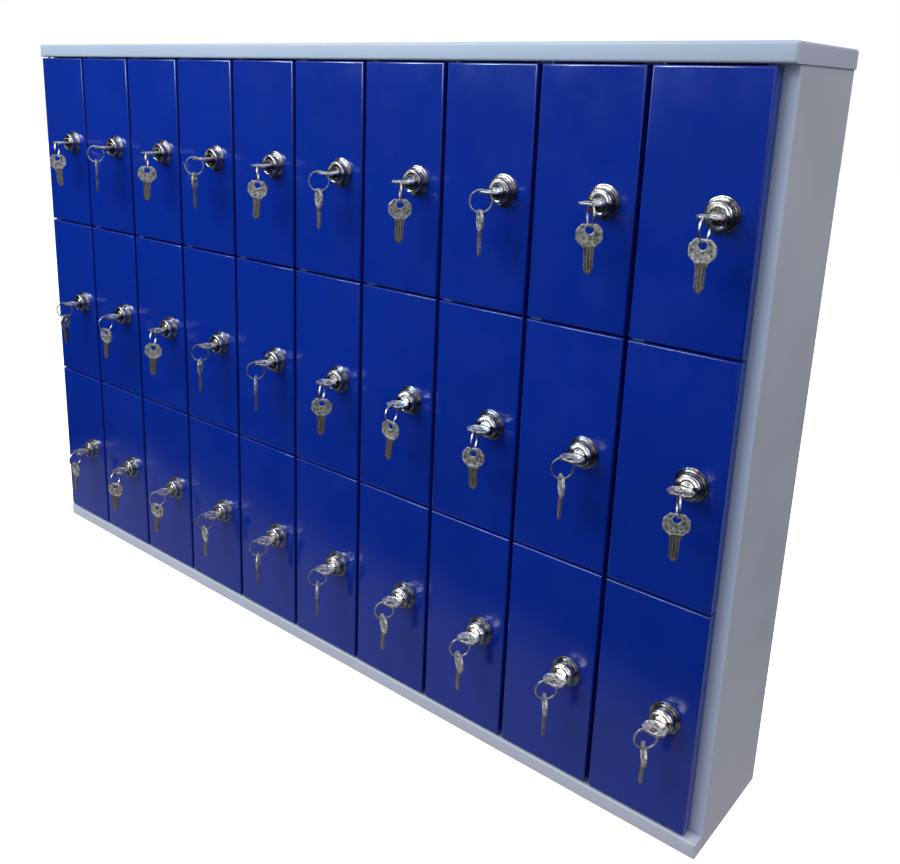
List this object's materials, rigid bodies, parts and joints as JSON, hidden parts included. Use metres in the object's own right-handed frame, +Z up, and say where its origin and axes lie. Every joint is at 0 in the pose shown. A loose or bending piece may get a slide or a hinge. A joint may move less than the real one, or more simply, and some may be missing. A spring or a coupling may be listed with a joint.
{
  "type": "school locker",
  "caption": "Wide, shallow steel locker for phones and small valuables: rows of small blue hinged doors in a grey cabinet, each with a cam lock, key and spare.",
  "frame": {"origin": "centre of the base tray's underside, which is the surface that the locker stands on", "axes": "+X to the right as the doors are faced, +Y from the doors to the wall behind, +Z up"},
  "size_m": [0.973, 0.1729, 0.662],
  "materials": {
    "cabinet_grey": "satin powder coat",
    "door_blue": "glossy enamel",
    "lock_chrome": "polished",
    "cam_zinc": "zinc plated",
    "key_nickel": "nickel plated"
  },
  "bodies": {
    "cabinet": {"top_cap": "cabinet_grey", "base_tray": "cabinet_grey", "left_side": "cabinet_grey", "right_side": "cabinet_grey", "back_panel": "cabinet_grey", "shelf_1": "cabinet_grey", "shelf_2": "cabinet_grey", "partition_1": "cabinet_grey", "partition_2": "cabinet_grey", "partition_3": "cabinet_grey", "partition_4": "cabinet_grey", "partition_5": "cabinet_grey", "partition_6": "cabinet_grey", "partition_7": "cabinet_grey", "partition_8": "cabinet_grey", "partition_9": "cabinet_grey"},
    "door_r1_c1": {"door_r1_c1": "door_blue"},
    "door_r1_c2": {"door_r1_c2": "door_blue"},
    "door_r1_c3": {"door_r1_c3": "door_blue"},
    "door_r1_c4": {"door_r1_c4": "door_blue"},
    "door_r1_c5": {"door_r1_c5": "door_blue"},
    "door_r1_c6": {"door_r1_c6": "door_blue"},
    "door_r1_c7": {"door_r1_c7": "door_blue"},
    "door_r1_c8": {"door_r1_c8": "door_blue"},
    "door_r1_c9": {"door_r1_c9": "door_blue"},
    "door_r1_c10": {"door_r1_c10": "door_blue", "nut_r1_c10": "cam_zinc"},
    "door_r2_c1": {"door_r2_c1": "door_blue"},
    "door_r2_c2": {"door_r2_c2": "door_blue"},
    "door_r2_c3": {"door_r2_c3": "door_blue"},
    "door_r2_c4": {"door_r2_c4": "door_blue"},
    "door_r2_c5": {"door_r2_c5": "door_blue"},
    "door_r2_c6": {"door_r2_c6": "door_blue"},
    "door_r2_c7": {"door_r2_c7": "door_blue"},
    "door_r2_c8": {"door_r2_c8": "door_blue"},
    "door_r2_c9": {"door_r2_c9": "door_blue"},
    "door_r2_c10": {"door_r2_c10": "door_blue"},
    "door_r3_c1": {"door_r3_c1": "door_blue"},
    "door_r3_c2": {"door_r3_c2": "door_blue"},
    "door_r3_c3": {"door_r3_c3": "door_blue"},
    "door_r3_c4": {"door_r3_c4": "door_blue"},
    "door_r3_c5": {"door_r3_c5": "door_blue"},
    "door_r3_c6": {"door_r3_c6": "door_blue"},
    "door_r3_c7": {"door_r3_c7": "door_blue"},
    "door_r3_c8": {"door_r3_c8": "door_blue"},
    "door_r3_c9": {"door_r3_c9": "door_blue"},
    "door_r3_c10": {"door_r3_c10": "door_blue"},
    "lock_r1_c1": {"lock_r1_c1": "lock_chrome"},
    "lock_r1_c2": {"lock_r1_c2": "lock_chrome"},
    "lock_r1_c3": {"lock_r1_c3": "lock_chrome"},
    "lock_r1_c4": {"lock_r1_c4": "lock_chrome"},
    "lock_r1_c5": {"lock_r1_c5": "lock_chrome"},
    "lock_r1_c6": {"lock_r1_c6": "lock_chrome"},
    "lock_r1_c7": {"lock_r1_c7": "lock_chrome"},
    "lock_r1_c8": {"lock_r1_c8": "lock_chrome"},
    "lock_r1_c9": {"lock_r1_c9": "lock_chrome"},
    "lock_r1_c10": {"plug_and_key_r1_c10": "lock_chrome", "cam_r1_c10": "cam_zinc"},
    "split_ring": {"split_ring_r1_c10": "key_nickel"},
    "spare_key": {"spare_key_r1_c10": "key_nickel"}
  },
  "joints": [
    {"name": "door_r1_c1_hinge", "type": "hinge", "parent": "cabinet", "child": "door_r1_c1", "pos_m": [-0.4755, -0.0605, 0.5413], "axis": [0, 0, -1], "range_deg": [0, 90]},
    {"name": "door_r1_c2_hinge", "type": "hinge", "parent": "cabinet", "child": "door_r1_c2", "pos_m": [-0.3795, -0.0605, 0.5413], "axis": [0, 0, -1], "range_deg": [0, 90]},
    {"name": "door_r1_c3_hinge", "type": "hinge", "parent": "cabinet", "child": "door_r1_c3", "pos_m": [-0.2835, -0.0605, 0.5413], "axis": [0, 0, -1], "range_deg": [0, 90]},
    {"name": "door_r1_c4_hinge", "type": "hinge", "parent": "cabinet", "child": "door_r1_c4", "pos_m": [-0.1875, -0.0605, 0.5413], "axis": [0, 0, -1], "range_deg": [0, 90]},
    {"name": "door_r1_c5_hinge", "type": "hinge", "parent": "cabinet", "child": "door_r1_c5", "pos_m": [-0.0915, -0.0605, 0.5413], "axis": [0, 0, -1], "range_deg": [0, 90]},
    {"name": "door_r1_c6_hinge", "type": "hinge", "parent": "cabinet", "child": "door_r1_c6", "pos_m": [0.0045, -0.0605, 0.5413], "axis": [0, 0, -1], "range_deg": [0, 90]},
    {"name": "door_r1_c7_hinge", "type": "hinge", "parent": "cabinet", "child": "door_r1_c7", "pos_m": [0.1005, -0.0605, 0.5413], "axis": [0, 0, -1], "range_deg": [0, 90]},
    {"name": "door_r1_c8_hinge", "type": "hinge", "parent": "cabinet", "child": "door_r1_c8", "pos_m": [0.1965, -0.0605, 0.5413], "axis": [0, 0, -1], "range_deg": [0, 90]},
    {"name": "door_r1_c9_hinge", "type": "hinge", "parent": "cabinet", "child": "door_r1_c9", "pos_m": [0.2925, -0.0605, 0.5413], "axis": [0, 0, -1], "range_deg": [0, 90]},
    {"name": "door_r1_c10_hinge", "type": "hinge", "parent": "cabinet", "child": "door_r1_c10", "pos_m": [0.3885, -0.0605, 0.5413], "axis": [0, 0, -1], "range_deg": [0, 90]},
    {"name": "door_r2_c1_hinge", "type": "hinge", "parent": "cabinet", "child": "door_r2_c1", "pos_m": [-0.4755, -0.0605, 0.3312], "axis": [0, 0, -1], "range_deg": [0, 90]},
    {"name": "door_r2_c2_hinge", "type": "hinge", "parent": "cabinet", "child": "door_r2_c2", "pos_m": [-0.3795, -0.0605, 0.3312], "axis": [0, 0, -1], "range_deg": [0, 90]},
    {"name": "door_r2_c3_hinge", "type": "hinge", "parent": "cabinet", "child": "door_r2_c3", "pos_m": [-0.2835, -0.0605, 0.3312], "axis": [0, 0, -1], "range_deg": [0, 90]},
    {"name": "door_r2_c4_hinge", "type": "hinge", "parent": "cabinet", "child": "door_r2_c4", "pos_m": [-0.1875, -0.0605, 0.3312], "axis": [0, 0, -1], "range_deg": [0, 90]},
    {"name": "door_r2_c5_hinge", "type": "hinge", "parent": "cabinet", "child": "door_r2_c5", "pos_m": [-0.0915, -0.0605, 0.3312], "axis": [0, 0, -1], "range_deg": [0, 90]},
    {"name": "door_r2_c6_hinge", "type": "hinge", "parent": "cabinet", "child": "door_r2_c6", "pos_m": [0.0045, -0.0605, 0.3312], "axis": [0, 0, -1], "range_deg": [0, 90]},
    {"name": "door_r2_c7_hinge", "type": "hinge", "parent": "cabinet", "child": "door_r2_c7", "pos_m": [0.1005, -0.0605, 0.3312], "axis": [0, 0, -1], "range_deg": [0, 90]},
    {"name": "door_r2_c8_hinge", "type": "hinge", "parent": "cabinet", "child": "door_r2_c8", "pos_m": [0.1965, -0.0605, 0.3312], "axis": [0, 0, -1], "range_deg": [0, 90]},
    {"name": "door_r2_c9_hinge", "type": "hinge", "parent": "cabinet", "child": "door_r2_c9", "pos_m": [0.2925, -0.0605, 0.3312], "axis": [0, 0, -1], "range_deg": [0, 90]},
    {"name": "door_r2_c10_hinge", "type": "hinge", "parent": "cabinet", "child": "door_r2_c10", "pos_m": [0.3885, -0.0605, 0.3312], "axis": [0, 0, -1], "range_deg": [0, 90]},
    {"name": "door_r3_c1_hinge", "type": "hinge", "parent": "cabinet", "child": "door_r3_c1", "pos_m": [-0.4755, -0.0605, 0.1211], "axis": [0, 0, -1], "range_deg": [0, 90]},
    {"name": "door_r3_c2_hinge", "type": "hinge", "parent": "cabinet", "child": "door_r3_c2", "pos_m": [-0.3795, -0.0605, 0.1211], "axis": [0, 0, -1], "range_deg": [0, 90]},
    {"name": "door_r3_c3_hinge", "type": "hinge", "parent": "cabinet", "child": "door_r3_c3", "pos_m": [-0.2835, -0.0605, 0.1211], "axis": [0, 0, -1], "range_deg": [0, 90]},
    {"name": "door_r3_c4_hinge", "type": "hinge", "parent": "cabinet", "child": "door_r3_c4", "pos_m": [-0.1875, -0.0605, 0.1211], "axis": [0, 0, -1], "range_deg": [0, 90]},
    {"name": "door_r3_c5_hinge", "type": "hinge", "parent": "cabinet", "child": "door_r3_c5", "pos_m": [-0.0915, -0.0605, 0.1211], "axis": [0, 0, -1], "range_deg": [0, 90]},
    {"name": "door_r3_c6_hinge", "type": "hinge", "parent": "cabinet", "child": "door_r3_c6", "pos_m": [0.0045, -0.0605, 0.1211], "axis": [0, 0, -1], "range_deg": [0, 90]},
    {"name": "door_r3_c7_hinge", "type": "hinge", "parent": "cabinet", "child": "door_r3_c7", "pos_m": [0.1005, -0.0605, 0.1211], "axis": [0, 0, -1], "range_deg": [0, 90]},
    {"name": "door_r3_c8_hinge", "type": "hinge", "parent": "cabinet", "child": "door_r3_c8", "pos_m": [0.1965, -0.0605, 0.1211], "axis": [0, 0, -1], "range_deg": [0, 90]},
    {"name": "door_r3_c9_hinge", "type": "hinge", "parent": "cabinet", "child": "door_r3_c9", "pos_m": [0.2925, -0.0605, 0.1211], "axis": [0, 0, -1], "range_deg": [0, 90]},
    {"name": "door_r3_c10_hinge", "type": "hinge", "parent": "cabinet", "child": "door_r3_c10", "pos_m": [0.3885, -0.0605, 0.1211], "axis": [0, 0, -1], "range_deg": [0, 90]},
    {"name": "lock_r1_c1_turn", "type": "hinge", "parent": "door_r1_c1", "child": "lock_r1_c1", "pos_m": [-0.4171, -0.067, 0.5414], "axis": [0, -1, 0], "range_deg": [0, 90]},
    {"name": "lock_r1_c2_turn", "type": "hinge", "parent": "door_r1_c2", "child": "lock_r1_c2", "pos_m": [-0.3211, -0.067, 0.5414], "axis": [0, -1, 0], "range_deg": [0, 90]},
    {"name": "lock_r1_c3_turn", "type": "hinge", "parent": "door_r1_c3", "child": "lock_r1_c3", "pos_m": [-0.2251, -0.067, 0.5414], "axis": [0, -1, 0], "range_deg": [0, 90]},
    {"name": "lock_r1_c4_turn", "type": "hinge", "parent": "door_r1_c4", "child": "lock_r1_c4", "pos_m": [-0.1291, -0.067, 0.5414], "axis": [0, -1, 0], "range_deg": [0, 90]},
    {"name": "lock_r1_c5_turn", "type": "hinge", "parent": "door_r1_c5", "child": "lock_r1_c5", "pos_m": [-0.0331, -0.067, 0.5414], "axis": [0, -1, 0], "range_deg": [0, 90]},
    {"name": "lock_r1_c6_turn", "type": "hinge", "parent": "door_r1_c6", "child": "lock_r1_c6", "pos_m": [0.0629, -0.067, 0.5414], "axis": [0, -1, 0], "range_deg": [0, 90]},
    {"name": "lock_r1_c7_turn", "type": "hinge", "parent": "door_r1_c7", "child": "lock_r1_c7", "pos_m": [0.1589, -0.067, 0.5414], "axis": [0, -1, 0], "range_deg": [0, 90]},
    {"name": "lock_r1_c8_turn", "type": "hinge", "parent": "door_r1_c8", "child": "lock_r1_c8", "pos_m": [0.2549, -0.067, 0.5414], "axis": [0, -1, 0], "range_deg": [0, 90]},
    {"name": "lock_r1_c9_turn", "type": "hinge", "parent": "door_r1_c9", "child": "lock_r1_c9", "pos_m": [0.3509, -0.067, 0.5414], "axis": [0, -1, 0], "range_deg": [0, 90]},
    {"name": "lock_r1_c10_turn", "type": "hinge", "parent": "door_r1_c10", "child": "lock_r1_c10", "pos_m": [0.4469, -0.067, 0.5414], "axis": [0, -1, 0], "range_deg": [0, 90]},
    {"name": "split_ring_swing", "type": "hinge", "parent": "lock_r1_c10", "child": "split_ring", "pos_m": [0.4469, -0.0901, 0.5414], "axis": [0, 1, 0], "range_deg": [-20, 20]},
    {"name": "spare_key_swing", "type": "hinge", "parent": "split_ring", "child": "spare_key", "pos_m": [0.4469, -0.0956, 0.52454], "axis": [0, 1, 0], "range_deg": [-70, 70]}
  ]
}
